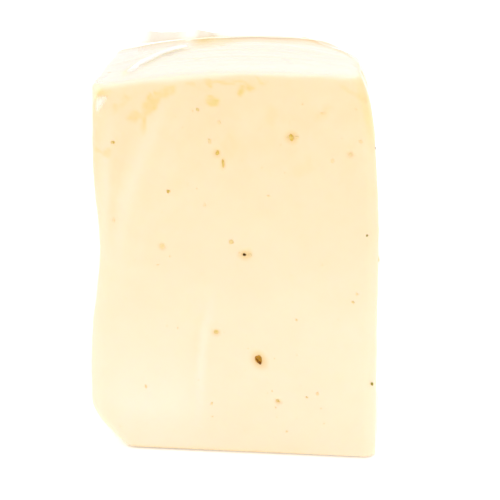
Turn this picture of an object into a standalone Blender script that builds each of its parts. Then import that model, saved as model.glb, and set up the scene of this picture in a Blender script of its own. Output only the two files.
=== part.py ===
"""Garlic havarti cheese: a thick cut of pale cheese standing on its end, wrapped tightly in thin clear film.

Two solids: the cheese, with its small open eyes as relief, and the film, an open-bottomed skin round it
whose spare length lies in pleats and a diagonal tuck over the top, with a lapped seam down the back.
The front faces -Y, the base lies on Z = 0 and the whole is centred on X and Y.
"""

import math

import bmesh
import bpy
from mathutils import Matrix, Vector

MM = 0.001

# overall size of the cheese, in millimetres
CHEESE_WIDTH = 91.4
CHEESE_DEPTH = 42.5
CHEESE_HEIGHT = 126.3
CHEESE_SETBACK = -0.126
CHEESE_SHIFT = 0.117

# rounding of its edges
SIDE_ROUNDING = 4.0
TOP_ROUNDING = 1.6
FOOT_ROUNDING = 1.2

# left side: hollow at mid height, foot cut away at a slant
HOLLOW_HEIGHT = 68.0
HOLLOW_SPREAD = 20.0
HOLLOW_DEPTH = 2.5
LEFT_LEAN = 2.0
CUT_WIDTH = 12.0
CUT_HEIGHT = 15.5
CUT_POWER = 1.6

# right side: leans in over its upper half
RIGHT_LEAN_START = 55.0
RIGHT_LEAN = 5.4
RIGHT_LEAN_POWER = 3.2
RIGHT_CORNER = 2.2
RIGHT_CORNER_SPREAD = 5.5

# plan: the back is narrower than the front
BACK_TAPER_LEFT = 1.2
BACK_TAPER_RIGHT = 3.6

# top: crowned, lower to the left, with its right back corner falling away
CROWN_CENTRE = 15.0
CROWN_FALL = 6.4
CROWN_POWER = 2.1
RIGHT_FALL = 0.6
BACK_CORNER_FALL = 6.5
BACK_CORNER_SPREAD = 6.0

# open eyes in the front of the cheese: across, up, width, height, depth, turn in degrees
EYES = (
    (8.2, 32.4, 2.5, 3.3, 1.3, 22.0),
    (18.3, 107.4, 1.9, 2.5, 0.9, 10.0),
    (3.8, 68.1, 1.5, 1.8, 0.9, -30.0),
    (-4.9, 101.3, 1.5, 1.5, 0.7, 0.0),
    (-3.1, 98.3, 1.0, 2.8, 0.7, 6.0),
    (-22.6, 69.7, 1.6, 1.7, 0.7, 35.0),
    (-5.5, 41.2, 1.9, 1.5, 0.7, -15.0),
    (14.5, 18.2, 1.5, 1.5, 0.7, 0.0),
    (36.9, 102.5, 1.6, 1.4, 0.7, 20.0),
)

# film: clearance from the cheese, thickness, clearance from the floor
FILM_GAP = 0.45
FILM_THICKNESS = 0.55
FILM_FOOT = 0.4
PLEAT_RISE = 1.2
FILM_SLACK = 0.5
FRONT_TENSION_RISE = 0.25

# diagonal tuck over the left of the top, the standing end of film behind it, and the seam down the back
TUCK_START = (-36.5, -16.8)
TUCK_END = (-14.5, 11.0)
TUCK_WIDTH = 3.6
TUCK_RISE = 1.9
TUCK_FLAT = (2.0, 6.0)
TAIL_LEFT = -33.0
TAIL_RIGHT = -15.0
TAIL_BACK = 19.4
TAIL_THICKNESS = 1.2
TAIL_TOP = 128.5
TAIL_BITE = 0.45
TAIL_WAVE = 0.5
TAIL_CUTS = 7
SEAM_CENTRE = 6.0
SEAM_WIDTH = 30.0
SEAM_BOTTOM = 7.0
SEAM_TOP = 117.0
SEAM_RISE = 0.5
SEAM_BITE = 0.35

# how finely the solids are cut up: cuts across and back, and the heights of the cuts, in millimetres
ZONE = 0.2
CHEESE_CUTS = (9, 3)
FILM_CUTS = (20, 15)
LEVELS = (2.5, 5.0, 7.5, 10.5, 14.0, 18.0, 25.0, 34.0, 44.0, 52.0, 60.0, 67.0, 75.0, 82.0, 90.0, 99.0, 108.0, 116.0)
ROUNDING_CUTS = (0.0, 0.55)


def smooth_step(low, high, value):
    t = min(1.0, max(0.0, (value - low) / (high - low)))
    return t * t * (3.0 - 2.0 * t)


def bell(value, centre, spread):
    return math.exp(-(((value - centre) / spread) ** 2))


def left_inset(z):
    """How far the left side stands in from the widest line at height z."""
    lean = LEFT_LEAN * smooth_step(CUT_HEIGHT, CHEESE_HEIGHT, z)
    hollow = HOLLOW_DEPTH * bell(z, HOLLOW_HEIGHT, HOLLOW_SPREAD)
    into_cut = max(0.0, 1.0 - max(0.0, z) / CUT_HEIGHT)
    return lean + hollow + CUT_WIDTH * into_cut**CUT_POWER


def right_inset(z):
    """How far the right side stands in from the widest line at height z."""
    into_lean = max(0.0, (z - RIGHT_LEAN_START) / (CHEESE_HEIGHT - RIGHT_LEAN_START))
    corner = RIGHT_CORNER * math.exp((z - CHEESE_HEIGHT) / RIGHT_CORNER_SPREAD)
    return RIGHT_LEAN * into_lean**RIGHT_LEAN_POWER + corner


def top_fall(x, y):
    """How far the top lies under the crown at a place seen from above."""
    half_width = CHEESE_WIDTH / 2
    half_depth = CHEESE_DEPTH / 2
    to_left = max(0.0, CROWN_CENTRE - x) / (CROWN_CENTRE + half_width)
    to_right = max(0.0, x - CROWN_CENTRE) / (half_width - CROWN_CENTRE)
    crown = CROWN_FALL * to_left**CROWN_POWER + RIGHT_FALL * to_right**CROWN_POWER
    near_corner = math.exp((x - half_width) / BACK_CORNER_SPREAD) * smooth_step(-0.2 * half_depth, half_depth, y)
    return crown + BACK_CORNER_FALL * near_corner


def warp(point):
    """Moves a point of the plain rounded block to its place on the real block."""
    x, y, z = point
    share_right = (x + CHEESE_WIDTH / 2) / CHEESE_WIDTH
    share_back = (y + CHEESE_DEPTH / 2) / CHEESE_DEPTH
    from_left = left_inset(z) + BACK_TAPER_LEFT * share_back
    from_right = right_inset(z) + BACK_TAPER_RIGHT * share_back
    moved_x = x + from_left * (1.0 - share_right) - from_right * share_right
    moved_z = z - top_fall(x, y) * max(0.0, z) / CHEESE_HEIGHT
    return Vector((moved_x + CHEESE_SHIFT, y + CHEESE_SETBACK, moved_z))


def unit_block(cuts, low):
    """A cube cut into a grid on every side: closely over its rounded ends, and between them as asked."""
    flat = 1.0 - ZONE
    ends = [sign * (flat + ZONE * step) for sign in (-1.0, 1.0) for step in ROUNDING_CUTS]
    even = [[flat * (2.0 * i / (count + 1) - 1.0) for i in range(1, count + 1)] for count in cuts]
    foot = low + FOOT_ROUNDING
    reach = CHEESE_HEIGHT - TOP_ROUNDING - foot
    upright = [flat * (2.0 * (level - foot) / reach - 1.0) for level in LEVELS]
    mesh = bmesh.new()
    bmesh.ops.create_cube(mesh, size=2.0)
    for axis, places in enumerate((*even, upright)):
        normal = Vector((0.0, 0.0, 0.0))
        normal[axis] = 1.0
        for place in places + ends:
            everything = mesh.verts[:] + mesh.edges[:] + mesh.faces[:]
            bmesh.ops.bisect_plane(mesh, geom=everything, plane_co=normal * place, plane_no=normal)
    return mesh


def split(value):
    """The flat part of a unit coordinate, from -1 to 1, and how far it goes into the rounded end."""
    flat = 1.0 - ZONE
    return max(-flat, min(flat, value)) / flat, (value - max(-flat, min(flat, value))) / ZONE


def rounded_point(unit, grow, low, square_foot):
    """A point of the plain block, larger by grow on every side, whose base lies at height low."""
    flats, overs = zip(*(split(value) for value in unit))
    side = SIDE_ROUNDING + grow
    high = CHEESE_HEIGHT + grow
    top = TOP_ROUNDING + grow
    foot = FOOT_ROUNDING
    outward = Vector(overs)
    if outward.z < 0.0 and square_foot:
        plan = Vector((outward.x, outward.y, 0.0))
        reach = max(abs(plan.x), abs(plan.y))
        outward = plan.normalized() * reach + Vector((0.0, 0.0, outward.z))
    elif outward.length > 0.0:
        outward.normalize()
    x = flats[0] * (CHEESE_WIDTH / 2 + grow - side) + outward.x * side
    y = flats[1] * (CHEESE_DEPTH / 2 + grow - side) + outward.y * side
    middle = (flats[2] + 1.0) / 2.0
    z = low + foot + middle * (high - top - low - foot)
    z += outward.z * (top if outward.z > 0.0 else foot)
    return Vector((x, y, z))


def block(name, collection, cuts, grow=0.0, low=0.0, square_foot=False, relief=None):
    """The real block, larger by grow, with any relief added along the surface normal."""
    mesh = unit_block(cuts, low)
    for vertex in mesh.verts:
        unit = vertex.co.copy()
        vertex.co = warp(rounded_point(unit, grow, low, square_foot))
        if relief:
            vertex.co += relief(unit, vertex.co)
    for vertex in mesh.verts:
        vertex.co *= MM
    bmesh.ops.triangulate(mesh, faces=mesh.faces[:], quad_method="SHORT_EDGE")
    bmesh.ops.recalc_face_normals(mesh, faces=mesh.faces[:])
    return finish(name, mesh, collection)


def finish(name, mesh, collection):
    data = bpy.data.meshes.new(name)
    mesh.to_mesh(data)
    mesh.free()
    piece = bpy.data.objects.new(name, data)
    collection.objects.link(piece)
    return piece


def film_top(x, y):
    """Height of the film's smooth outer surface over the top of the block."""
    return CHEESE_HEIGHT + FILM_GAP + FILM_THICKNESS - top_fall(x, y)


def from_tuck(point):
    """Distance from the line of the diagonal tuck, seen from above."""
    start = Vector(TUCK_START)
    along = Vector(TUCK_END) - start
    offset = Vector(point[:2]) - start
    share = min(1.0, max(0.0, offset.dot(along) / along.length_squared))
    return (offset - along * share).length


def pleats(unit, point):
    """Relief of the film: pleats along the top, and taut ripples fanning from the upper left of the front."""
    on_top = smooth_step(1.0 - ZONE, 1.0 - 0.4 * ZONE, unit.z)
    spacing = 2.0 * (1.0 - ZONE) / (FILM_CUTS[1] + 1)
    line = round((unit.y + 1.0 - ZONE) / spacing)
    inside = smooth_step(1.0, 0.7, abs(unit.y)) * smooth_step(1.0, 0.65, abs(unit.x))
    ridge = PLEAT_RISE * (line % 2) * smooth_step(*TUCK_FLAT, from_tuck(point))
    slack = FILM_SLACK * (1.0 - unit.x * unit.x) * (1.0 - unit.y * unit.y)
    lifted = on_top * (ridge * inside + slack)
    upper_left = smooth_step(0.3, -0.6, unit.x) * smooth_step(-0.2, 0.5, unit.z)
    ripple = 0.5 + 0.5 * math.sin(0.55 * point.x + 0.16 * (CHEESE_HEIGHT - point.z))
    rippled = FRONT_TENSION_RISE * upper_left * ripple * smooth_step(1.0, 0.8, abs(unit.z))
    if unit.y > -1.0 + 0.01:
        rippled = 0.0
    return Vector((0.0, -rippled, lifted))


def ellipsoid(mesh, size, place, turn, steps=2):
    """Adds a ball scaled to size, turned by a matrix and put at a place, all in millimetres."""
    scale = Matrix.Diagonal((size[0] / 2, size[1] / 2, size[2] / 2, 1.0))
    transform = Matrix.Translation(Vector(place) * MM) @ turn @ Matrix.Scale(MM, 4) @ scale
    bmesh.ops.create_icosphere(mesh, subdivisions=steps, radius=1.0, matrix=transform)


def eye_cutter(collection):
    mesh = bmesh.new()
    front = CHEESE_SETBACK - CHEESE_DEPTH / 2
    for across, up, width, height, depth, turn in EYES:
        rotation = Matrix.Rotation(math.radians(turn), 4, "Y")
        ellipsoid(mesh, (width, 2 * depth, height), (across, front, up), rotation)
    return finish("eyes", mesh, collection)


def tuck(collection):
    """The diagonal fold: a long low ridge from the front left corner towards the back."""
    start = Vector((TUCK_START[0], TUCK_START[1], film_top(*TUCK_START)))
    end = Vector((TUCK_END[0], TUCK_END[1], film_top(*TUCK_END)))
    along = end - start
    turn = along.to_track_quat("X", "Z").to_matrix().to_4x4()
    mesh = bmesh.new()
    ellipsoid(mesh, (along.length, TUCK_WIDTH, 2 * TUCK_RISE), (start + end) / 2, turn, steps=3)
    return finish("tuck", mesh, collection)


def tail(collection):
    """The end of the film, left standing at the back of the top: thin, waved and level along its upper edge."""
    mesh = bmesh.new()
    bmesh.ops.create_cube(mesh, size=1.0)
    for i in range(1, TAIL_CUTS):
        everything = mesh.verts[:] + mesh.edges[:] + mesh.faces[:]
        place = Vector((i / TAIL_CUTS - 0.5, 0.0, 0.0))
        bmesh.ops.bisect_plane(mesh, geom=everything, plane_co=place, plane_no=(1.0, 0.0, 0.0))
    for vertex in mesh.verts:
        share = vertex.co.x + 0.5
        x = TAIL_LEFT + (TAIL_RIGHT - TAIL_LEFT) * share
        wave = TAIL_WAVE * math.sin(2.0 * math.pi * 1.5 * share)
        upper = vertex.co.z > 0.0
        y = TAIL_BACK + vertex.co.y * TAIL_THICKNESS * (0.6 if upper else 1.0) + (wave if upper else 0.0)
        z = TAIL_TOP + 0.4 * wave if upper else film_top(x, TAIL_BACK) - TAIL_BITE
        vertex.co = Vector((x, y, z)) * MM
    bmesh.ops.triangulate(mesh, faces=mesh.faces[:])
    return finish("tail", mesh, collection)


def seam(collection):
    """The lapped edge of the film, a flat strip standing a little proud of the back."""
    back = CHEESE_SETBACK + CHEESE_DEPTH / 2 + FILM_GAP + FILM_THICKNESS
    size = Vector((SEAM_WIDTH, SEAM_RISE + SEAM_BITE, SEAM_TOP - SEAM_BOTTOM))
    place = Vector((SEAM_CENTRE, back + (SEAM_RISE - SEAM_BITE) / 2, (SEAM_TOP + SEAM_BOTTOM) / 2))
    mesh = bmesh.new()
    transform = Matrix.Translation(place * MM) @ Matrix.Diagonal((*(size * MM), 1.0))
    bmesh.ops.create_cube(mesh, size=1.0, matrix=transform)
    for vertex in mesh.verts:
        if vertex.co.y > back * MM:
            vertex.co.x += math.copysign(SEAM_RISE * MM, SEAM_CENTRE * MM - vertex.co.x)
            vertex.co.z += math.copysign(SEAM_RISE * MM, place.z * MM - vertex.co.z)
    return finish("seam", mesh, collection)


def boolean(piece, other, operation):
    change = piece.modifiers.new(f"{operation.lower()} {other.name}", "BOOLEAN")
    change.operation = operation
    change.solver = "EXACT"
    change.object = other


def material(name, colour, roughness, alpha=1.0):
    look = bpy.data.materials.new(name)
    look.use_nodes = True
    shader = look.node_tree.nodes["Principled BSDF"]
    shader.inputs["Base Color"].default_value = (*colour, 1.0)
    shader.inputs["Roughness"].default_value = roughness
    shader.inputs["Alpha"].default_value = alpha
    return look


def new_collection(name):
    collection = bpy.data.collections.new(name)
    bpy.context.scene.collection.children.link(collection)
    return collection


def build():
    for item in list(bpy.data.objects):
        bpy.data.objects.remove(item)
    parts = new_collection("garlic havarti cheese")
    cutters = new_collection("cutters")

    cheese = block("cheese_block", parts, CHEESE_CUTS)
    cheese.data.materials.append(material("cheese", (0.95, 0.84, 0.58), 0.45))
    boolean(cheese, eye_cutter(cutters), "DIFFERENCE")

    grow = FILM_GAP + FILM_THICKNESS
    film = block("film_wrap", parts, FILM_CUTS, grow, FILM_FOOT, True, pleats)
    film.data.materials.append(material("film", (0.96, 0.95, 0.92), 0.15, 0.35))
    for ridge in (tuck(cutters), tail(cutters), seam(cutters)):
        boolean(film, ridge, "UNION")
    hollow = block("hollow", cutters, CHEESE_CUTS, FILM_GAP, -3.0, True)
    boolean(film, hollow, "DIFFERENCE")

    for item in cutters.objects:
        item.hide_render = True
        item.display_type = "WIRE"


build()
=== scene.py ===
import math

import bmesh
import bpy
import numpy as np
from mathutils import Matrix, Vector


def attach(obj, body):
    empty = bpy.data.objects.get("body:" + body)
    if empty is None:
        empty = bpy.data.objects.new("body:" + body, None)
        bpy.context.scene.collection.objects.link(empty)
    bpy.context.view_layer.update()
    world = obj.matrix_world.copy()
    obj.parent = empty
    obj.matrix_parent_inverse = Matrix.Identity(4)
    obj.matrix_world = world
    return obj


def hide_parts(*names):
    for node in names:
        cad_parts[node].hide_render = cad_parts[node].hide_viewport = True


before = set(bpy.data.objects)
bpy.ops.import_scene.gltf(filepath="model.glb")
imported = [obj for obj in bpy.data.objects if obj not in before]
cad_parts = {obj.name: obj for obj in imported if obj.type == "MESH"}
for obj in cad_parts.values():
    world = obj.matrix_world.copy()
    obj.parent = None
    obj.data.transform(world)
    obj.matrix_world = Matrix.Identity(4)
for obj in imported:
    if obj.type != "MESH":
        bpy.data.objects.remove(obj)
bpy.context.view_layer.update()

# Garlic havarti cheese, a thick cut standing on its end in tight clear film.
# Lengths are in millimetres until a mesh is written, and the front faces -Y.

MM = 0.001

# form of the cheese, as in the solid that it stands for
CHEESE_WIDTH = 91.4
CHEESE_DEPTH = 42.5
CHEESE_HEIGHT = 126.3
CHEESE_SETBACK = -0.126
CHEESE_SHIFT = 0.117
SIDE_ROUNDING = 4.0
TOP_ROUNDING = 1.6
FOOT_ROUNDING = 1.2
HOLLOW_HEIGHT = 68.0
HOLLOW_SPREAD = 20.0
HOLLOW_DEPTH = 2.5
LEFT_LEAN = 2.0
CUT_WIDTH = 12.0
CUT_HEIGHT = 15.5
CUT_POWER = 1.6
RIGHT_LEAN_START = 55.0
RIGHT_LEAN = 5.4
RIGHT_LEAN_POWER = 3.2
RIGHT_CORNER = 2.2
RIGHT_CORNER_SPREAD = 5.5
BACK_TAPER_LEFT = 1.2
BACK_TAPER_RIGHT = 3.6
CROWN_CENTRE = 15.0
CROWN_FALL = 6.4
CROWN_POWER = 2.1
RIGHT_FALL = 0.6
BACK_CORNER_FALL = 6.5
BACK_CORNER_SPREAD = 6.0
ROUNDED_SHARE = 0.2

FRONT = CHEESE_SETBACK - CHEESE_DEPTH / 2
BACK = CHEESE_SETBACK + CHEESE_DEPTH / 2

# the two coordinates that a path on the front or on the top is given in
ON_FRONT = [0, 2]
ON_TOP = [0, 1]


def ease(low, high, value):
    """0 at low and 1 at high, with a smooth rise between them."""
    t = np.clip((value - low) / (high - low), 0.0, 1.0)
    return t * t * (3.0 - 2.0 * t)


def within(value, rise, fall):
    """1 between two soft ends, each given as where it begins and where it is complete."""
    return ease(*rise, value) * ease(*fall, value)


def bell(value, centre, spread):
    return np.exp(-(((value - centre) / spread) ** 2))


def left_inset(z):
    lean = LEFT_LEAN * ease(CUT_HEIGHT, CHEESE_HEIGHT, z)
    hollow = HOLLOW_DEPTH * bell(z, HOLLOW_HEIGHT, HOLLOW_SPREAD)
    into_cut = np.maximum(0.0, 1.0 - np.maximum(0.0, z) / CUT_HEIGHT)
    return lean + hollow + CUT_WIDTH * into_cut**CUT_POWER


def right_inset(z):
    into_lean = np.maximum(0.0, (z - RIGHT_LEAN_START) / (CHEESE_HEIGHT - RIGHT_LEAN_START))
    corner = RIGHT_CORNER * np.exp((z - CHEESE_HEIGHT) / RIGHT_CORNER_SPREAD)
    return RIGHT_LEAN * into_lean**RIGHT_LEAN_POWER + corner


def top_fall(x, y):
    """How far the top lies under the crown at a place seen from above."""
    half_width = CHEESE_WIDTH / 2
    half_depth = CHEESE_DEPTH / 2
    to_left = np.maximum(0.0, CROWN_CENTRE - x) / (CROWN_CENTRE + half_width)
    to_right = np.maximum(0.0, x - CROWN_CENTRE) / (half_width - CROWN_CENTRE)
    crown = CROWN_FALL * to_left**CROWN_POWER + RIGHT_FALL * to_right**CROWN_POWER
    near_corner = np.exp((x - half_width) / BACK_CORNER_SPREAD)
    return crown + BACK_CORNER_FALL * near_corner * ease(-0.2 * half_depth, half_depth, y)


def under_top(points):
    """How far points lie under the top of the cheese above them."""
    x, y, z = points.T
    return CHEESE_HEIGHT - top_fall(x, y) - z


def warp(points):
    """Moves points of the plain rounded block to their places on the real block."""
    x, y, z = points.T
    share_right = (x + CHEESE_WIDTH / 2) / CHEESE_WIDTH
    share_back = (y + CHEESE_DEPTH / 2) / CHEESE_DEPTH
    from_left = left_inset(z) + BACK_TAPER_LEFT * share_back
    from_right = right_inset(z) + BACK_TAPER_RIGHT * share_back
    moved_x = x + from_left * (1.0 - share_right) - from_right * share_right
    moved_z = z - top_fall(x, y) * np.maximum(0.0, z) / CHEESE_HEIGHT
    return np.stack([moved_x + CHEESE_SHIFT, y + CHEESE_SETBACK, moved_z], axis=1)


def cut_places(count, ends):
    flat = 1.0 - ROUNDED_SHARE
    even = np.linspace(-flat, flat, count + 1)
    high = flat + ROUNDED_SHARE * np.tan(np.linspace(0.0, math.pi / 4, ends + 1)[1:])
    return np.concatenate([-high[::-1], even, high])


def block_grid(counts, ends, open_foot):
    """Unit coordinates and quads of the surface of a block, cut closely round its edges."""
    axes = [cut_places(count, ends) for count in counts]
    sizes = [len(places) for places in axes]
    sheets = []
    for axis in range(3):
        second, third = (axis + 1) % 3, (axis + 2) % 3
        j, k = np.meshgrid(np.arange(sizes[second] - 1), np.arange(sizes[third] - 1), indexing="ij")
        for side in (0, sizes[axis] - 1):
            if open_foot and axis == 2 and side == 0:
                continue
            corners = []
            for dj, dk in ((0, 0), (1, 0), (1, 1), (0, 1)):
                index = np.empty(j.shape + (3,), int)
                index[..., axis] = side
                index[..., second] = j + dj
                index[..., third] = k + dk
                corners.append(index)
            quads = np.stack(corners, axis=-2).reshape(-1, 4, 3)
            sheets.append(quads[:, ::-1] if side == 0 else quads)
    quads = np.concatenate(sheets)
    keys = quads[..., 0] + sizes[0] * (quads[..., 1] + sizes[1] * quads[..., 2])
    used, inverse = np.unique(keys, return_inverse=True)
    places = (used % sizes[0], used // sizes[0] % sizes[1], used // (sizes[0] * sizes[1]))
    unit = np.stack([axes[i][places[i]] for i in range(3)], axis=1)
    return unit, inverse.reshape(-1, 4)


def rounded_points(unit, grow, low, foot):
    """Points of the plain block, larger by grow on every side, whose base lies at height low."""
    flat = 1.0 - ROUNDED_SHARE
    inner = np.clip(unit, -flat, flat)
    outward = (unit - inner) / ROUNDED_SHARE
    outward /= np.maximum(np.linalg.norm(outward, axis=1, keepdims=True), 1e-9)
    flats = inner / flat
    side = SIDE_ROUNDING + grow
    top = TOP_ROUNDING + grow
    x = flats[:, 0] * (CHEESE_WIDTH / 2 + grow - side) + outward[:, 0] * side
    y = flats[:, 1] * (CHEESE_DEPTH / 2 + grow - side) + outward[:, 1] * side
    high = CHEESE_HEIGHT + grow
    z = low + foot + (flats[:, 2] + 1.0) / 2.0 * (high - top - low - foot)
    z += outward[:, 2] * np.where(outward[:, 2] > 0.0, top, foot)
    return np.stack([x, y, z], axis=1)


def vertex_normals(points, quads):
    a, b, c, d = (points[quads[:, i]] for i in range(4))
    face = np.cross(c - a, d - b)
    normals = np.zeros_like(points)
    for i in range(4):
        np.add.at(normals, quads[:, i], face)
    return normals / np.maximum(np.linalg.norm(normals, axis=1, keepdims=True), 1e-12)


def ripples(points, length, seed, waves=14):
    """Smooth random waves of about the given length, from -1 to 1 or so."""
    rng = np.random.default_rng(seed)
    total = np.zeros(len(points))
    for _ in range(waves):
        direction = rng.normal(size=3)
        direction *= 2.0 * math.pi / (length * rng.uniform(0.7, 1.5) * np.linalg.norm(direction))
        total += np.sin(points @ direction + rng.uniform(0.0, 2.0 * math.pi))
    return total / math.sqrt(waves)


def from_path(points, path, axes):
    """Distance of points from a path on one of the faces, and how far along it they lie, from 0 to 1."""
    flat = points[:, axes]
    nearest = np.full(len(points), np.inf)
    along = np.zeros(len(points))
    ends = np.array(path, float)
    lengths = np.linalg.norm(np.diff(ends, axis=0), axis=1)
    starts = np.concatenate([[0.0], np.cumsum(lengths)])
    for i, length in enumerate(lengths):
        step = (ends[i + 1] - ends[i]) / length
        share = np.clip((flat - ends[i]) @ step, 0.0, length)
        distance = np.linalg.norm(flat - ends[i] - share[:, None] * step, axis=1)
        closer = distance < nearest
        nearest = np.where(closer, distance, nearest)
        along = np.where(closer, (starts[i] + share) / starts[-1], along)
    return nearest, along


def faded(along, ends):
    """1 in the middle of a path, fading towards its ends, which keep the strength that ends gives them."""
    return np.sin(np.pi * np.clip(along, ends, 1.0 - ends)) ** 0.6


def mesh_object(name, points, faces, layers=None):
    """A smooth mesh piece that rides on the body, from millimetre points, with any layers on its points."""
    data = bpy.data.meshes.new(name)
    data.from_pydata((np.asarray(points) * MM).tolist(), [], np.asarray(faces).tolist())
    for layer, values in (layers or {}).items():
        data.attributes.new(layer, "FLOAT", "POINT").data.foreach_set("value", np.asarray(values, np.float32))
    data.polygons.foreach_set("use_smooth", [True] * len(data.polygons))
    data.update()
    piece = bpy.data.objects.new(name, data)
    bpy.context.scene.collection.objects.link(piece)
    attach(piece, "root")
    return piece


# materials

BLACK = (0.0, 0.0, 0.0)
WHITE = (1.0, 1.0, 1.0)

# grain of the cheese: noise scale, detail, roughness, range of the noise, strength, colour
CHEESE_GRAIN = (
    (420.0, 4.0, 0.6, (0.42, 0.70), 0.15, (0.94, 0.74, 0.52)),
    (300.0, 3.0, 0.55, (0.45, 0.72), 0.27, (0.89, 0.665, 0.39)),
    (110.0, 4.0, 0.65, (0.42, 0.68), 0.36, (0.90, 0.66, 0.385)),
)
CHEESE_BASE = ((0.3, (0.90, 0.675, 0.43)), (0.5, (0.91, 0.70, 0.46)), (0.72, (0.92, 0.725, 0.49)))

# colour that each layer on the mesh brings in, in the order that they lie over each other
CHEESE_TINTS = {
    # pale: partly air under the film, partly painted light
    "pale": (0.94, 0.83, 0.68),
    "milky": (0.87, 0.785, 0.71),
    "wet": (0.79, 0.60, 0.21),
    # real stains round the eyes, and painted warm shade above the foot
    "stain_and_foot_shade": (0.83, 0.58, 0.21),
    # rim: the brown rind along the far edge, and a painted contact shadow along the foot
    "rim": (0.60, 0.44, 0.24),
}

# noises: scale, detail, roughness
BROAD_NOISE = (22.0, 3.0, 0.55)
FLECK_NOISE = (900.0, 3.0, 0.6)
CRINKLE_NOISE = (240.0, 3.0, 0.55)
LONG_CRINKLE_NOISE = (70.0, 2.0, 0.5)
FLOOR_NOISE = (60.0, 2.0, 0.5)

# bumps: strength, and height in metres
CHEESE_BUMP = (0.25, 0.2 * MM)
FLECK_BUMP = (0.5, 0.2 * MM)
FILM_BUMP = (0.12, 0.4 * MM)

# roughness: what the noise adds, and the least
CHEESE_ROUGHNESS = (0.2, 0.42)
FILM_ROUGHNESS = (0.08, 0.06)

# film: what its clear and its milky parts let through or give back
CLEAR = (0.995, 0.99, 0.975)
CLEAR_SHADED = (0.84, 0.70, 0.46)
CLEAR_GOLD = (0.94, 0.96, 0.72)
MILK = (0.99, 0.985, 0.97)
MILK_GOLD = (0.90, 0.82, 0.50)
WARM_MILK = (0.885, 0.875, 0.765)
WARM_MILK_END = (0.86, 0.79, 0.68)
SHEEN_POWER = 5.0
SHEEN_LEAST = 0.005
GLOW_SHARE = 0.2
CRINKLE_VEIL = 0.03


class Nodes:
    """Builds the node tree of a material in few words."""

    def __init__(self, name):
        self.material = bpy.data.materials.new(name)
        self.material.use_nodes = True
        self.tree = self.material.node_tree
        self.tree.nodes.clear()

    def put(self, socket, value):
        """Links a socket to another one, or gives it a constant."""
        if isinstance(value, bpy.types.NodeSocket):
            self.tree.links.new(value, socket)
        elif isinstance(value, tuple) and len(value) == 3 and socket.type == "RGBA":
            socket.default_value = (*value, 1.0)
        else:
            socket.default_value = value

    def add(self, kind, inputs=None, **settings):
        node = self.tree.nodes.new(kind)
        for key, value in settings.items():
            setattr(node, key, value)
        for key, value in (inputs or {}).items():
            self.put(node.inputs[key], value)
        return node

    def math(self, operation, a, b, clamp=False):
        return self.add("ShaderNodeMath", {0: a, 1: b}, operation=operation, use_clamp=clamp).outputs[0]

    def layer(self, name):
        return self.add("ShaderNodeAttribute", attribute_name=name).outputs["Fac"]

    def noise(self, scale, detail, roughness):
        place = self.add("ShaderNodeTexCoord").outputs["Object"]
        inputs = {"Vector": place, "Scale": scale, "Detail": detail, "Roughness": roughness}
        return self.add("ShaderNodeTexNoise", inputs).outputs["Fac"]

    def ramp(self, value, stops):
        node = self.add("ShaderNodeValToRGB", {"Fac": value})
        elements = node.color_ramp.elements
        while len(elements) < len(stops):
            elements.new(0.5)
        for element, (place, colour) in zip(elements, stops):
            element.position = place
            element.color = (*colour, 1.0)
        return node.outputs["Color"]

    def mix(self, share, a, b):
        """Colour a, with b over it by the given share."""
        return self.add("ShaderNodeMix", {0: share, 6: a, 7: b}, data_type="RGBA").outputs[2]

    def blend(self, share, a, b):
        """Shader a, with b over it by the given share."""
        return self.add("ShaderNodeMixShader", {0: share, 1: a, 2: b}).outputs[0]

    def line(self, value, slope, least, clamp=False):
        """The value times a slope, with a least value added."""
        return self.math("ADD", self.math("MULTIPLY", value, slope), least, clamp)

    def bump(self, height, strength, distance):
        inputs = {"Strength": strength, "Distance": distance, "Height": height}
        return self.add("ShaderNodeBump", inputs).outputs[0]

    def out(self, shader):
        self.add("ShaderNodeOutputMaterial", {"Surface": shader})
        return self.material


def cheese_material():
    n = Nodes("cheese")
    broad = n.noise(*BROAD_NOISE)
    base = n.ramp(broad, CHEESE_BASE)
    grains = []
    for scale, detail, roughness, (low, high), strength, colour in CHEESE_GRAIN:
        grains.append(n.noise(scale, detail, roughness))
        share = n.ramp(grains[-1], ((low, BLACK), (high, WHITE)))
        base = n.mix(n.math("MULTIPLY", share, strength), base, colour)
    for layer, colour in CHEESE_TINTS.items():
        base = n.mix(n.layer(layer), base, colour)
    shader = n.add("ShaderNodeBsdfPrincipled", {
        "Base Color": base, "Roughness": n.line(broad, *CHEESE_ROUGHNESS),
        "Normal": n.bump(grains[0], *CHEESE_BUMP), "Specular IOR Level": 0.25,
        "Subsurface Weight": 0.3, "Subsurface Radius": (1.0, 0.7, 0.4), "Subsurface Scale": 3.0 * MM,
    })
    return n.out(shader.outputs[0])


def fleck_material(name, core, rim, roughness):
    n = Nodes(name)
    mottle = n.noise(*FLECK_NOISE)
    shader = n.add("ShaderNodeBsdfPrincipled", {
        "Base Color": n.ramp(mottle, ((0.38, core), (0.70, rim))), "Roughness": roughness,
        "Normal": n.bump(mottle, *FLECK_BUMP), "Specular IOR Level": 0.12,
    })
    return n.out(shader.outputs[0])


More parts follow.
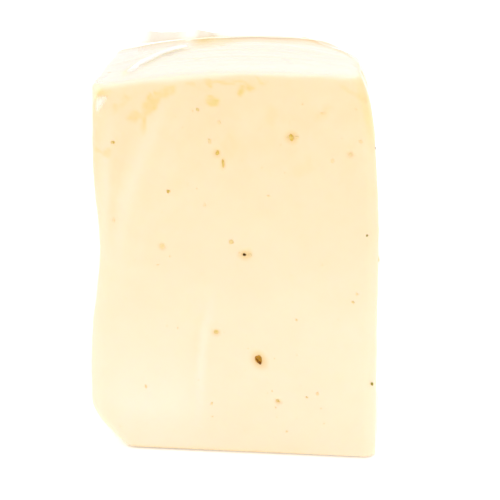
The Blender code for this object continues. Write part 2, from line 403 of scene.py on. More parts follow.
def film_material(name, warm_tint):
    """Thin film: clear from straight on and glossy at a slant, milky where it is gathered or doubled."""
    n = Nodes(name)
    crinkle = n.noise(*CRINKLE_NOISE)
    height = n.math("ADD", crinkle, n.math("MULTIPLY", n.noise(*LONG_CRINKLE_NOISE), 2.0))
    bump = n.bump(height, *FILM_BUMP)
    facing = n.add("ShaderNodeLayerWeight", {"Blend": 0.5, "Normal": bump}).outputs["Facing"]
    dull = n.math("SUBTRACT", 1.0, n.layer("shade"))
    sheen = n.math("ADD", n.math("POWER", facing, SHEEN_POWER), SHEEN_LEAST, True)
    through = n.mix(n.layer("gold"), n.mix(n.layer("shade"), CLEAR, CLEAR_SHADED), CLEAR_GOLD)
    clear = n.add("ShaderNodeBsdfTransparent", {"Color": through})
    gloss = n.add("ShaderNodeBsdfGlossy", {
        "Color": WHITE, "Roughness": n.line(crinkle, *FILM_ROUGHNESS), "Normal": bump,
    })
    skin = n.blend(n.math("MULTIPLY", sheen, dull), clear.outputs[0], gloss.outputs[0])
    tint = n.mix(n.layer("gold"), n.mix(n.layer("warm"), MILK, warm_tint), MILK_GOLD)
    milk = n.add("ShaderNodeBsdfDiffuse", {"Color": tint})
    glow = n.add("ShaderNodeBsdfTranslucent", {"Color": tint})
    cloud = n.blend(GLOW_SHARE, milk.outputs[0], glow.outputs[0])
    share = n.math("ADD", n.layer("veil"), n.math("MULTIPLY", crinkle, CRINKLE_VEIL), True)
    return n.out(n.blend(share, skin, cloud))


# the cheese

CHEESE_COUNTS = (118, 46, 168)
CHEESE_EDGE_STEPS = 5
SMALL_EYES = 70
SMALL_EYE_REACH = (0.5, 1.3)
FAR_EDGE_RISE = 0.4
EYE_SOFT = 0.6
EYE_STAIN = 0.7
EYE_STAIN_SOFT = 0.7

# slow and quick waves of the cut faces: height, length, seed
FACE_WAVES = ((0.10, 30.0, 11), (0.035, 7.0, 12))

# heights over which the foot gets a painted contact shadow and, above it, a warmer painted shade, and how the
# two fade from side to side
FOOT_SHADOW = (0.9, 0.3)
FOOT_SHADOW_SPAN = (10.0, -20.0)
FOOT_WARM_SHADE = (1.7, 0.5)
FOOT_WARM_SHADE_SPAN = (38.0, 0.0)

# open eyes in the front: across, up, width, height, depth, turn in degrees
EYES = (
    (8.8, 32.2, 4.0, 5.4, 0.5, -30), (18.6, 105.2, 3.4, 3.4, 0.4, 10),
    (4.5, 66.9, 3.8, 2.8, 0.4, -20), (-4.3, 99.5, 1.8, 2.0, 0.5, 0),
    (-2.5, 96.3, 1.4, 3.4, 0.3, 4), (-21.7, 68.6, 2.0, 1.8, 0.3, 35),
    (-4.9, 40.8, 2.2, 1.8, 0.5, -15), (14.8, 18.3, 1.8, 1.6, 0.5, 0),
    (36.7, 100.3, 1.8, 1.7, 0.5, 20),
)

# patches of the front where the film clings: across, up, half width, half height, turn in degrees, strength
WET_PATCHES = (
    (-20.9, 117.8, 4.4, 1.3, -33, 0.6), (-23.0, 118.2, 0.9, 0.8, -38, 0.85),
    (-24.8, 114.2, 3.6, 2.0, -52, 0.8), (-25.4, 116.9, 1.6, 0.7, -50, 0.8),
    (-29.8, 110.1, 2.6, 1.5, -12, 0.66), (-26.5, 108.6, 3.6, 0.8, -84, 0.55),
    (-6.0, 116.1, 2.5, 1.4, 0, 0.9), (3.2, 119.7, 1.7, 1.0, -32, 0.95),
    (5.9, 120.5, 1.6, 1.1, -20, 1.0), (-5.8, 121.6, 1.2, 0.7, 0, 0.6),
    (-0.6, 122.0, 6.6, 0.7, 2, 0.55), (-12.5, 121.4, 1.6, 0.5, 10, 0.35),
    (9.7, 122.8, 1.9, 0.6, 20, 0.5), (-38.5, 98.4, 1.8, 0.9, 0, 0.55),
    (-41.1, 98.8, 1.0, 0.7, 0, 0.5), (-32.7, 116.3, 0.8, 0.6, 0, 0.5),
    (-35.7, 113.6, 0.7, 0.7, 0, 0.5), (-33.6, 113.8, 4.4, 0.9, -45, 0.3),
    (39.9, 122.0, 1.0, 1.2, 0, 0.35), (36.6, 120.0, 4.2, 0.8, 34, 0.35),
    (28.2, 113.2, 3.6, 1.2, -50, 0.2), (12.6, 111.4, 1.6, 3.4, 15, 0.18),
    (-0.6, 101.8, 2.2, 4.5, 10, 0.18), (22.2, 95.6, 5.5, 2.4, -35, 0.15),
)
PATCH_WANDER = 0.55
DRY_SPOT = (-30.9, 108.1, 0.9, 0.9)
WET_FAR_SPAN = ((-18.5, -13.5), (4.0, -8.0))

# courses of the streaks and the dim lines beside them, as places across and up the front
LONG_STREAK = (
    (-17.8, 119.6), (-19.7, 116.4), (-21.9, 111.0), (-24.4, 106.1), (-26.6, 101.3), (-28.6, 96.4),
    (-30.9, 89.9), (-33.2, 82.7), (-33.9, 76.1), (-35.3, 69.5), (-37.0, 62.2),
)
EDGE_STREAK = (
    (-35.5, 114.0), (-36.8, 110.2), (-38.1, 105.0), (-39.2, 96.0), (-39.1, 86.4), (-39.2, 76.6),
    (-39.7, 66.7),
)
BETWEEN_STREAKS = (
    (-33.1, 108.4), (-34.1, 101.0), (-34.5, 96.2), (-36.2, 89.7), (-36.9, 83.2), (-37.7, 76.0),
    (-38.1, 70.1),
)
LOW_STREAK = (
    (-5.5, 54.9), (-6.8, 48.2), (-8.4, 41.4), (-9.0, 36.4), (-9.7, 31.3), (-10.1, 25.2),
    (-10.1, 16.0), (-11.4, 9.5),
)
LEFT_OF_LOW_STREAK = ((-8.0, 49.8), (-10.6, 42.7), (-11.6, 36.3), (-12.3, 30.5))
MIDDLE_STREAK = ((-27.9, 76.4), (-28.0, 70.5), (-29.4, 63.2))
RIGHT_OF_LONG_STREAK = ((-18.2, 112.0), (-20.1, 106.9), (-21.4, 101.1), (-23.0, 94.7))

# light streaks in the front, partly air under a taut crease and partly a painted sheen along it: course,
# width, strength
AIR_AND_SHEEN_STREAKS = (
    (LONG_STREAK, 2.5, 0.22),
    (EDGE_STREAK, 1.5, 0.2),
    (BETWEEN_STREAKS, 1.4, -0.22),
    (LOW_STREAK, 1.4, 0.2),
    (LEFT_OF_LOW_STREAK, 1.0, -0.12),
    (MIDDLE_STREAK, 1.6, 0.08),
    (RIGHT_OF_LONG_STREAK, 1.4, -0.08),
)

# pale parts of the front: towards the foot, partly air under the film and partly painted light from the
# floor;
# a painted glare cloud at the lower left as centre and reach each way; and a painted sheen on the two upright
# edges as ranges across and up and a strength
FOOT_AIR_AND_BOUNCE = (118.0, 26.0)
GLARE_CLOUD = ((-27.0, 15.0), (13.0, 17.0))
EDGE_SHEEN = (
    ((-37.0, -44.5), (112.0, 60.0), 0.10),
    ((41.5, 45.5), (112.0, 80.0), 0.06),
)

# slanted edge of the pale upper left corner: where it stands, and its slope
CORNER_X = -43.2
CORNER_Z = 113.5
CORNER_SLOPE = 1.85

# bands and pleats of the top bow towards the back on both sides of this place
BOW_CENTRE = 5.0
BOW = 0.0012

# where the film lies tight and clear along the far edge of the top, and where it reaches further forward
CLEAR_SPAN = ((-20.0, -14.0), (36.0, 26.0))
CLEAR_REACH_X = -13.0
CLEAR_REACH_SPREAD = 8.0

# the brown far edge, as distances from the back, and the stretch where it is strongest
RIM_LINE = (3.0, 1.5)
RIM_GLOW = (8.5, 2.0)
RIM_SPAN = ((-9.0, -3.0), (24.0, 11.0))


def spot(points, x, z, half_width, half_height, turn=0.0, soft=0.35):
    """1 inside an ellipse on the front, fading to 0 over its soft edge."""
    angle = math.radians(turn)
    dx, dz = points[:, 0] - x, points[:, 2] - z
    across = dx * math.cos(angle) - dz * math.sin(angle)
    up = dx * math.sin(angle) + dz * math.cos(angle)
    distance = np.sqrt((across / half_width) ** 2 + (up / half_height) ** 2)
    on_front = points[:, 1] < FRONT + SIDE_ROUNDING
    return ease(1.0 + soft, 1.0 - soft, distance) * on_front


def bow(x):
    return BOW * (x - BOW_CENTRE) ** 2


def wet_patches(points):
    """Where the film clings to the cheese with no air under it, which deepens the colour."""
    sway = np.stack([ripples(points, 5.0, 3), np.zeros(len(points)), ripples(points, 4.0, 4)], axis=1)
    wander = points + PATCH_WANDER * sway
    total = np.zeros(len(points))
    for x, z, half_width, half_height, turn, strength in WET_PATCHES:
        total = np.maximum(total, strength * spot(wander, x, z, half_width, half_height, turn))
    total *= 1.0 - 0.8 * spot(points, *DRY_SPOT)
    total *= np.clip(0.85 + 0.2 * ripples(points, 2.2, 5), 0.4, 1.1)
    x, y, _ = points.T
    along_back = within(x, *WET_FAR_SPAN) * ease(10.0, 16.0, y)
    return np.maximum(total, 0.9 * along_back * ease(2.0, 0.8, under_top(points)))


def pale_and_painted_light(points):
    """Paler parts: partly air under the film, partly painted light at the foot, edges, creases and top."""
    x, y, z = points.T
    below = under_top(points)
    uneven = 1.0 + 0.2 * ripples(points, 22.0, 61) + 0.096 * ripples(points, 9.0, 62)
    # a painted glare cloud at the lower left of the front
    cloud = bell(x, *GLARE_CLOUD[0]) * bell(z, *GLARE_CLOUD[1]) * uneven
    # paler towards the foot, partly air under the film and partly painted light bounced from the floor
    pale = 0.47 * ease(*FOOT_AIR_AND_BOUNCE, z) + 0.36 * cloud
    # painted sheen along the two upright edges
    for across, up, strength in EDGE_SHEEN:
        pale += strength * ease(*across, x) * ease(*up, z)
    # streaks partly of air under taut creases, partly a painted sheen along them
    for path, width, strength in AIR_AND_SHEEN_STREAKS:
        distance, along = from_path(points, path, ON_FRONT)
        pale += strength * faded(along, 0.03) * bell(distance, 0.0, width) * (y < FRONT + SIDE_ROUNDING)
    # the top paled as painted light from above, along with the milky gathered film over it
    tight = 1.0 - clear_at_back(x, y)
    pale += (0.98 - 0.35 * top_bands(points)) * ease(2.0, 0.5, below) * tight
    corner = z - CORNER_Z - CORNER_SLOPE * (x - CORNER_X)
    in_corner = ease(-1.2, 0.6, corner) * ease(107.0, 112.0, z)
    pale += 0.9 * in_corner * ease(FRONT + 9.0, FRONT + 3.0, y)
    # a paler band just under the top edge: painted light filling the shade under the film's top
    left_half = ease(5.5, -9.0, x)
    wavy = below + 0.2 * ripples(points, 12.0, 63)
    soft_edge = ease(2.8 + 0.9 * left_half, 0.8 + 0.5 * left_half, wavy)
    return np.clip(pale + soft_edge * ease(FRONT + 6.0, FRONT + 2.0, y), -0.3, 1.0)


def milky_top(points):
    """The top, which looks milky through the pleated film, in soft bands from side to side."""
    x, y, _ = points.T
    near = ease(FRONT + 10.0, FRONT + 4.5, y)
    ends = np.maximum(ease(-22.0, -36.0, x), ease(26.0, 38.0, x))
    share = 0.95 - 0.6 * top_bands(points) * (1.0 - 0.8 * near) * (1.0 - 0.5 * ends)
    return share * ease(1.5, 0.5, under_top(points)) * (1.0 - clear_at_back(x, y))


def top_bands(points):
    """Soft bands over the top, close to parallel with its long edges, from 0 to 1."""
    x, y, _ = points.T
    long_points = points * (0.25, 1.0, 1.0)
    across = y + bow(x) + 9.0 * ease(10.0, 44.0, x)
    wide = np.sin(1.15 * across + 1.5 * ripples(long_points, 14.0, 64))
    narrow = np.sin(2.9 * across + 1.8 * ripples(long_points, 10.0, 65))
    return np.clip(0.5 + 0.33 * wide + 0.22 * narrow, 0.0, 1.0)


def clear_at_back(x, y):
    """Where the film lies tight and clear along the far edge of the top."""
    reach = 4.0 * bell(x, CLEAR_REACH_X, CLEAR_REACH_SPREAD)
    return ease(8.5, 14.0, y + reach) * within(x, *CLEAR_SPAN)


def back_rim(points):
    """The far edge of the top, where the rind of the loaf is left as a thin brown line."""
    x, y, _ = points.T
    from_back = BACK - y
    line = 0.9 * ease(*RIM_LINE, from_back) + 0.42 * ease(*RIM_GLOW, from_back)
    strength = 0.3 + 0.7 * within(x, *RIM_SPAN)
    on_top = ease(3.0, 1.0, under_top(points))
    return np.clip(line, 0.0, 1.0) * on_top * strength * (0.9 + 0.1 * ripples(points, 6.0, 71))


def add_small_eyes(points, relief):
    """Small holes all over, away from the front and the foot."""
    rng = np.random.default_rng(5)
    off_front = np.flatnonzero((points[:, 1] > FRONT + 1.0) & (points[:, 2] > 3.0))
    for centre in points[rng.choice(off_front, SMALL_EYES, replace=False)]:
        reach = rng.uniform(*SMALL_EYE_REACH)
        distance = np.linalg.norm((points - centre) / reach, axis=1)
        relief -= 0.55 * reach * ease(1.3, 0.3, distance)


def make_cheese():
    unit, quads = block_grid(CHEESE_COUNTS, CHEESE_EDGE_STEPS, False)
    points = warp(rounded_points(unit, 0.0, 0.0, FOOT_ROUNDING))
    normals = vertex_normals(points, quads)
    relief = sum(height * ripples(points, length, seed) for height, length, seed in FACE_WAVES)
    stain_and_foot_shade = np.zeros(len(points))
    for x, z, width, height, depth, turn in EYES:
        relief -= depth * spot(points, x, z, width / 2, height / 2, turn, EYE_SOFT)
        dim = EYE_STAIN * spot(points, x, z, width / 2, height / 2, turn, EYE_STAIN_SOFT)
        stain_and_foot_shade = np.maximum(stain_and_foot_shade, dim)
    add_small_eyes(points, relief)
    far_edge = ease(*RIM_LINE, BACK - points[:, 1]) * ease(2.2, 0.8, under_top(points))
    relief += FAR_EDGE_RISE * far_edge
    level = ease(0.0, 1.5, points[:, 2])
    rim = back_rim(points)
    points += normals * (relief * level)[:, None]
    x, _, z = points.T
    # the foot darkened as a painted contact shadow, and warmed as painted shade just above it
    rim = rim + ease(*FOOT_SHADOW, z) * (0.75 + 0.25 * ease(*FOOT_SHADOW_SPAN, x))
    stain_and_foot_shade = np.maximum(stain_and_foot_shade, 0.5 * ease(*FOOT_WARM_SHADE, z) * ease(*FOOT_WARM_SHADE_SPAN, x))
    layers = {
        "wet": wet_patches(points), "pale": pale_and_painted_light(points), "milky": milky_top(points),
        "stain_and_foot_shade": stain_and_foot_shade, "rim": np.clip(rim, 0.0, 1.0),
    }
    cheese = mesh_object("cheese", points, quads, layers)
    cheese.data.materials.append(cheese_material())
    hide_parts("cheese_block")
    return points, normals


# the flecks

# each kind: colour of the core, colour of the rim, roughness, how far it stands out of the front
FLECK_KINDS = {
    "brown": ((0.34, 0.14, 0.006), (0.58, 0.31, 0.03), 0.6, 0.0),
    "dark": ((0.045, 0.017, 0.0), (0.12, 0.055, 0.001), 0.6, 0.3),
    "amber": ((0.58, 0.38, 0.05), (0.80, 0.60, 0.19), 0.5, 0.1),
    "orange": ((0.74, 0.47, 0.11), (0.88, 0.65, 0.28), 0.5, 0.0),
    "olive": ((0.22, 0.18, 0.01), (0.44, 0.37, 0.06), 0.6, 0.0),
    "honey": ((0.70, 0.52, 0.20), (0.82, 0.63, 0.31), 0.5, 0.0),
    "umber": ((0.15, 0.045, 0.0), (0.28, 0.10, 0.001), 0.6, 0.35),
    "faint": ((0.84, 0.64, 0.34), (0.89, 0.69, 0.42), 0.5, 0.0),
    "pale": ((0.80, 0.61, 0.30), (0.88, 0.67, 0.38), 0.5, 0.0),
}

# flecks in the front: across, up, width, height, turn in degrees, kind
FLECKS = (
    (8.4, 32.1, 2.2, 4.0, 28, "brown"), (8.5, 31.5, 0.8, 2.3, 40, "umber"),
    (4.1, 66.7, 1.0, 0.9, -20, "dark"), (6.1, 66.7, 1.5, 1.3, 0, "pale"),
    (2.6, 67.0, 1.0, 0.9, 0, "faint"), (18.6, 104.9, 1.7, 2.2, 10, "amber"),
    (17.2, 105.2, 1.4, 1.0, 0, "pale"), (20.2, 105.2, 1.4, 1.0, 0, "pale"),
    (-4.3, 99.5, 1.7, 2.0, 0, "amber"), (-2.5, 96.3, 0.7, 3.0, 4, "amber"),
    (36.7, 100.3, 1.7, 1.5, 20, "pale"), (36.7, 100.3, 0.8, 0.8, 20, "honey"),
    (-21.7, 68.6, 2.1, 1.8, 35, "pale"), (-21.7, 68.6, 1.0, 0.9, 35, "honey"),
    (0.0, 70.8, 1.7, 1.9, 0, "honey"), (-4.9, 40.8, 2.1, 1.8, -15, "honey"),
    (-4.9, 40.8, 1.2, 1.0, -15, "amber"), (42.1, 74.5, 0.8, 0.9, 0, "olive"),
    (44.4, 25.4, 0.8, 0.9, 20, "olive"), (14.8, 18.3, 1.5, 1.4, 0, "honey"),
    (14.8, 18.3, 0.7, 0.6, 0, "amber"), (-36.5, 101.8, 1.4, 1.4, 0, "honey"),
    (-36.5, 101.8, 0.7, 0.7, 0, "amber"), (-19.6, 86.6, 1.5, 1.5, 0, "honey"),
    (-19.6, 86.6, 1.1, 1.1, 0, "amber"), (-6.3, 16.7, 1.0, 1.2, 0, "pale"),
    (23.9, 20.4, 1.1, 1.1, 0, "honey"), (38.0, 52.6, 1.1, 1.1, 0, "honey"),
    (39.3, 55.4, 1.1, 1.1, 0, "pale"), (-10.2, 113.0, 1.0, 1.4, 30, "honey"),
    (-3.6, 109.2, 1.4, 1.4, 0, "pale"), (-6.6, 103.1, 1.4, 1.8, 0, "pale"),
    (38.2, 114.6, 0.9, 0.9, 0, "pale"), (39.8, 104.6, 1.6, 1.2, 0, "faint"),
    (31.4, 98.1, 1.5, 1.5, 0, "faint"), (28.2, 113.1, 1.9, 0.8, 0, "pale"),
    (11.5, 86.2, 1.4, 0.8, 0, "faint"), (-8.3, 82.7, 0.9, 1.5, 0, "faint"),
    (-36.8, 76.6, 1.0, 2.0, 0, "faint"), (-23.1, 62.5, 1.2, 0.7, 0, "pale"),
    (20.5, 45.9, 0.9, 1.3, 20, "pale"), (-27.4, 21.5, 1.1, 1.3, 0, "pale"),
    (27.2, 21.6, 1.3, 1.2, 0, "faint"), (14.0, 16.3, 0.8, 0.6, 0, "pale"),
    (-6.1, 12.3, 0.8, 0.6, 0, "pale"), (17.5, 8.2, 1.0, 1.0, 0, "faint"),
)

# flecks on the other sides, and specks in the front
OTHER_KINDS = (
    "amber", "pale", "brown", "honey", "olive", "faint", "honey", "amber", "dark", "pale", "honey",
)
OTHER_FLECKS = 64
OTHER_FOOT = 4.0
OTHER_TOP = 121.0
OTHER_WIDTH = (0.5, 1.5)
SPECKS = 46
SPECK_FIELD = ((-38.0, 6.0), (38.0, 118.0))
SPECK_WIDTH = (0.25, 0.5)
FLECK_DEPTH = 0.35
FLECK_SUNK = 0.55
FLECK_UNEVEN = 0.22
FLECK_STEPS = 3


def ball(steps):
    """Points and triangles of a round ball."""
    mesh = bmesh.new()
    bmesh.ops.create_icosphere(mesh, subdivisions=steps, radius=1.0)
    points = np.array([vertex.co[:] for vertex in mesh.verts])
    faces = np.array([[vertex.index for vertex in face.verts] for face in mesh.faces])
    mesh.free()
    return points, faces


def make_flecks(points, normals):
    """Pieces of garlic, herb and spice in the cut faces, each an uneven lump half sunk in the cheese."""
    ball_points, ball_faces = ball(FLECK_STEPS)
    gathered = {kind: [] for kind in FLECK_KINDS}

    def put(place, normal, width, height, turn, kind, seed):
        lump = ball_points * (1.0 + FLECK_UNEVEN * ripples(ball_points, 1.5, seed)[:, None])
        side = np.cross((0.0, 0.0, 1.0) if abs(normal[2]) < 0.9 else (1.0, 0.0, 0.0), normal)
        side /= np.linalg.norm(side)
        up = np.cross(normal, side)
        angle = math.radians(turn)
        first = side * math.cos(angle) + up * math.sin(angle)
        second = up * math.cos(angle) - side * math.sin(angle)
        deep = FLECK_DEPTH * min(width, height)
        flat = lump[:, :1] * first * width / 2 + lump[:, 1:2] * second * height / 2
        lump = flat + lump[:, 2:] * normal * deep
        gathered[kind].append(place + lump - normal * FLECK_SUNK * deep)

    def nearest_on_front(x, z):
        return on_front[np.argmin((points[on_front, 0] - x) ** 2 + (points[on_front, 2] - z) ** 2)]

    on_front = np.flatnonzero(normals[:, 1] < -0.9)
    outward = np.array([0.0, -1.0, 0.0])
    for seed, (x, z, width, height, turn, kind) in enumerate(FLECKS):
        y = points[nearest_on_front(x, z), 1] - FLECK_KINDS[kind][3]
        put(np.array([x, y, z]), outward, width, height, turn, kind, seed)

    rng = np.random.default_rng(21)
    off_front = (normals[:, 1] > -0.1) & (points[:, 2] > OTHER_FOOT) & (points[:, 2] < OTHER_TOP)
    for seed, i in enumerate(rng.choice(np.flatnonzero(off_front), OTHER_FLECKS, replace=False)):
        width = rng.uniform(*OTHER_WIDTH)
        turn = rng.uniform(0.0, 180.0)
        height = width * rng.uniform(0.7, 1.7)
        put(points[i], normals[i], width, height, turn, OTHER_KINDS[seed % len(OTHER_KINDS)], 100 + seed)
    for seed, (x, z) in enumerate(rng.uniform(*SPECK_FIELD, (SPECKS, 2))):
        near = nearest_on_front(x, z)
        width = rng.uniform(*SPECK_WIDTH)
        put(points[near], normals[near], width, width, 0.0, "orange", 300 + seed)

    for kind, lumps in gathered.items():
        faces = np.concatenate([ball_faces + i * len(ball_points) for i in range(len(lumps))])
        piece = mesh_object(f"{kind}_flecks", np.concatenate(lumps), faces)
        piece.data.materials.append(fleck_material(f"{kind}_fleck", *FLECK_KINDS[kind][:3]))


# the film

FILM_OUT = 0.75
FILM_LOW = 0.15
FILM_FOOT_ROUNDING = 1.0
FILM_LIFT = 0.35
FILM_COUNTS = (112, 78, 140)
FILM_EDGE_STEPS = 6
FRONT_VEIL = 0.21
TOP_VEIL = 0.18

LONG_CREASE = ((-17.8, 119.6), (-21.9, 111.0), (-26.6, 101.3), (-30.9, 89.9), (-33.5, 79.4), (-36.6, 62.9))
EDGE_CREASE = ((-35.5, 114.0), (-38.1, 105.0), (-39.2, 96.0), (-39.1, 83.1), (-39.7, 66.7))
LOW_CREASE = ((-5.5, 54.9), (-8.4, 41.4), (-9.7, 31.3), (-10.1, 16.0), (-11.1, 9.5))
INNER_CREASE = ((-12.6, 118.5), (-16.3, 108.0), (-20.2, 95.1), (-22.9, 78.8))
SHORT_CREASE = ((-30.5, 116.1), (-33.7, 107.4), (-34.8, 99.4))

# taut creases in the front: course, width, rise, milkiness, which partly stands for a painted sheen along the
# crest
FRONT_CREASES = (
    (LONG_CREASE, 2.0, 0.09, 0.07),
    (EDGE_CREASE, 1.5, 0.07, 0.06),
    (LOW_CREASE, 1.4, 0.08, 0.07),
    (INNER_CREASE, 1.6, 0.05, 0.03),
    (SHORT_CREASE, 1.2, 0.05, 0.04),
)

# the pinched upper left corner: a wedge whitened as a painted glint, with a golden line round it
PINCH_LEFT = (-42.2, -41.0)
PINCH_FOOT = (110.4, 112.6)
PINCH_TOP = (117.2, 115.8)
PINCH_RISE = 0.3
PINCH_GLINT = 0.66
PINCH_GOLD = 0.4
PINCH_LINE_TOP = (118.8, 117.6)
PINCH_LINE = ((-42.9, 111.0), (-42.4, 114.6), (-40.3, 118.0), (-36.8, 118.9))
PINCH_HEAD = (-40.6, 117.6, 2.4, 2.0, 0.0, 0.7)
FILM_CORNER_X = -43.4
FILM_CORNER_Z = 113.8

# pleats over the top: the first and the last and the mean step between them, and how they vary
PLEATS = (-20.0, 30.0, 3.1)
PLEAT_SHIFT = (-1.1, 1.1)
PLEAT_WIDTH = (0.5, 1.4)
PLEAT_RISE = (0.10, 0.36)
PLEAT_MILK = (0.3, 1.0)
PLEAT_START = (-46.0, -18.0)
PLEAT_END = (14.0, 40.0)
PLEAT_FADE = 7.0
PLEAT_POWER = 1.6
BAND_STEP = 17.5

# pleats that hang from the top edge: how they vary
HANGING_STEP = (1.6, 5.2)
HANGING_WIDTH = (0.45, 1.3)
HANGING_LENGTH = (6.0, 34.0)
HANGING_SLANT = (-0.06, 0.06)
HANGING_STRENGTH = (0.35, 1.0)

# folds over the top, as places across and towards the back
FOLD_PATH = ((-31.3, -21.0), (-30.6, -12.2), (-27.6, -4.0), (-24.6, 1.6), (-21.4, 5.0), (-17.0, 8.2))
FOLD_WIDTH = 4.2
FOLD_ARCH = 0.26
FOLD_WRINKLE = 0.08
FOLD_VEIL = 0.72
RIGHT_FOLD = ((18.5, 18.5), (21.9, 15.4), (27.3, 7.2), (32.3, 0.5), (35.6, -6.0), (37.5, -12.5))

# the lapped seam down the back
SEAM_X = 6.0
SEAM_HALF_WIDTH = 15.0
SEAM_FOOT = 8.0
SEAM_TOP = 116.0
LAP_X = 20.6
LAP_WIDTH = 2.6


def along_path(path, shares):
    """Points of a path at the given shares of its length, drawn as a smooth curve."""
    ends = np.array(path, float)
    lengths = np.linalg.norm(np.diff(ends, axis=0), axis=1)
    starts = np.concatenate([[0.0], np.cumsum(lengths)]) / lengths.sum()
    places = np.stack([np.interp(shares, starts, ends[:, i]) for i in range(ends.shape[1])], axis=1)
    for _ in range(4):
        places[1:-1] = 0.25 * places[:-2] + 0.5 * places[1:-1] + 0.25 * places[2:]
    return places


def film_height(x, y):
    return CHEESE_HEIGHT + FILM_OUT + FILM_LIFT - top_fall(x, y)


class Skin:
    """The film over the block: its points, the share of each face, its relief and the layers drawn on it."""

    def __init__(self):
        unit, self.quads = block_grid(FILM_COUNTS, FILM_EDGE_STEPS, True)
        self.points = warp(rounded_points(unit, FILM_OUT, FILM_LOW, FILM_FOOT_ROUNDING))
        self.normals = vertex_normals(self.points, self.quads)
        self.x, self.y, self.z = self.points.T
        self.front = ease(-0.75, -0.95, self.normals[:, 1])
        self.back = ease(0.75, 0.95, self.normals[:, 1])
        self.top = ease(0.55, 0.85, self.normals[:, 2])
        self.side = ease(0.6, 0.9, np.abs(self.normals[:, 0]))
        self.relief = 0.04 * ripples(self.points, 16.0, 31)
        self.veil = 0.01 + 0.02 * ease(0.2, 1.6, ripples(self.points, 9.0, 33))
        self.warm = np.zeros(len(self.points))
        self.shade = np.zeros(len(self.points))
        self.gold = np.zeros(len(self.points))


def crease_front(skin):
    """Taut creases in the front, and a painted glare on the film at the lower left of the front."""
    for path, width, rise, milk in FRONT_CREASES:
        distance, along = from_path(skin.points, path, ON_FRONT)
        crest = bell(distance, 0.0, width) * faded(along, 0.02) * skin.front
        skin.relief += rise * crest
        skin.veil += milk * crest
    # painted glare at the lower left of the front
    skin.veil += 0.03 * bell(skin.x, -25.0, 17.0) * bell(skin.z, 15.0, 15.0) * skin.front**2


def pinch_corner(skin):
    """A small pinch at the upper left corner of the front, whitened as a painted glint, and a golden edge
    down the right.
    """
    x, y, z = skin.points.T
    right_of = 1.3 + 0.65 * (z - 112.5)
    pinch = ease(*PINCH_LEFT, x) * ease(right_of + 0.8, right_of - 0.6, x + 42.0)
    pinch *= within(z, PINCH_FOOT, PINCH_TOP) * skin.front
    skin.relief += PINCH_RISE * pinch
    corner = z - FILM_CORNER_Z - CORNER_SLOPE * (x - FILM_CORNER_X)
    in_corner = ease(-0.3, 0.9, corner) * ease(108.5, 112.0, z) * ease(-17.0, -19.5, y)
    # the pinch whitened by the veil as a painted glint
    skin.veil = np.minimum(skin.veil, FRONT_VEIL) + PINCH_GLINT * pinch + 0.04 * in_corner
    from_line, _ = from_path(skin.points, PINCH_LINE, ON_FRONT)
    skin.gold += PINCH_GOLD * bell(from_line, 0.0, 0.9) * skin.front * ease(*PINCH_LINE_TOP, z)
    skin.gold += 0.3 * spot(skin.points, *PINCH_HEAD)
    right_edge = within(skin.normals[:, 0], (0.25, 0.6), (0.99, 0.9)) * (y < 0.0)
    skin.gold += 0.4 * right_edge * bell(z, 113.5, 9.0)


def clear_over_flecks(skin):
    """The film clings tight over the large dark pieces."""
    for x, z, width, height, turn, kind in FLECKS:
        if kind in ("brown", "umber", "dark", "amber"):
            skin.veil -= 0.08 * spot(skin.points, x, z + 0.25, 0.6 * width, 0.6 * height, turn)


def pleat_top(skin):
    """Pleats over the top, close together, running from side to side and drawing in at the right."""
    x, y, _ = skin.points.T
    squeeze = 1.0 - 0.45 * ease(8.0, 40.0, x)
    gather = (y + 12.0 * ease(8.0, 44.0, x)) / squeeze + bow(x)
    gather += 0.7 * np.sin(x / 19.0 + y / 9.0) + 0.35 * ripples(skin.points, 24.0, 41)
    gather -= 0.62 * np.minimum(0.0, x + 18.0) * ease(-14.0, 6.0, y)
    rng = np.random.default_rng(43)
    pleat = np.zeros(len(x))
    milky = np.zeros(len(x))
    for place in np.arange(*PLEATS):
        place += rng.uniform(*PLEAT_SHIFT)
        width = rng.uniform(*PLEAT_WIDTH)
        rise = rng.uniform(*PLEAT_RISE)
        start = rng.uniform(*PLEAT_START)
        end = rng.uniform(*PLEAT_END)
        length = within(x, (start - PLEAT_FADE, start + PLEAT_FADE), (end + PLEAT_FADE, end - PLEAT_FADE))
        crest = np.exp(-np.abs((gather - place) / width) ** PLEAT_POWER) * length
        pleat += rise * crest
        milky += rng.uniform(*PLEAT_MILK) * crest
    fold, _ = from_path(skin.points, FOLD_PATH, ON_TOP)
    calm = ease(0.8, 2.6, fold)
    edge = within(y, (-21.0, -17.0), (14.0, 4.0)) * ease(44.0, 39.0, np.abs(x))
    skin.relief += (FILM_LIFT * edge + pleat * calm * edge) * skin.top

    clear_from = 6.5 - 4.5 * bell(x, CLEAR_REACH_X, CLEAR_REACH_SPREAD) + 1.0 * ripples(skin.points, 14.0, 46)
    clear = ease(clear_from, clear_from + 4.5, y) * within(x, *CLEAR_SPAN)
    at_right = ease(31.0, 39.0, x)
    at_left = ease(-33.0, -41.0, x)
    at_front = ease(-14.0, -18.5, y)
    fine = ripples(skin.points * (0.12, 1.0, 1.0), 2.6, 47)
    milk = (0.13 + 0.05 * milky * calm + 0.02 * fine) * (1.0 - 0.9 * clear)
    # the front of the top made milkier as a painted glare band
    milk += 0.04 * at_front + 0.04 * at_left + 0.02 * at_right
    skin.veil += np.clip(milk, 0.0, TOP_VEIL) * skin.top
    drift = gather - 0.4 + 2.0 * ripples(skin.points * (0.3, 1.0, 1.0), 15.0, 45)
    bands = 0.5 + 0.5 * np.cos(2.0 * np.pi * drift / BAND_STEP)
    # and less warm there, whiter as part of the painted glare
    plain = (1.0 - 0.6 * at_right) * (1.0 - 0.7 * at_left) * (1.0 - 0.9 * at_front)
    skin.warm += (0.42 + 0.5 * bands - 0.18 * milky + 0.08 * fine) * plain * skin.top


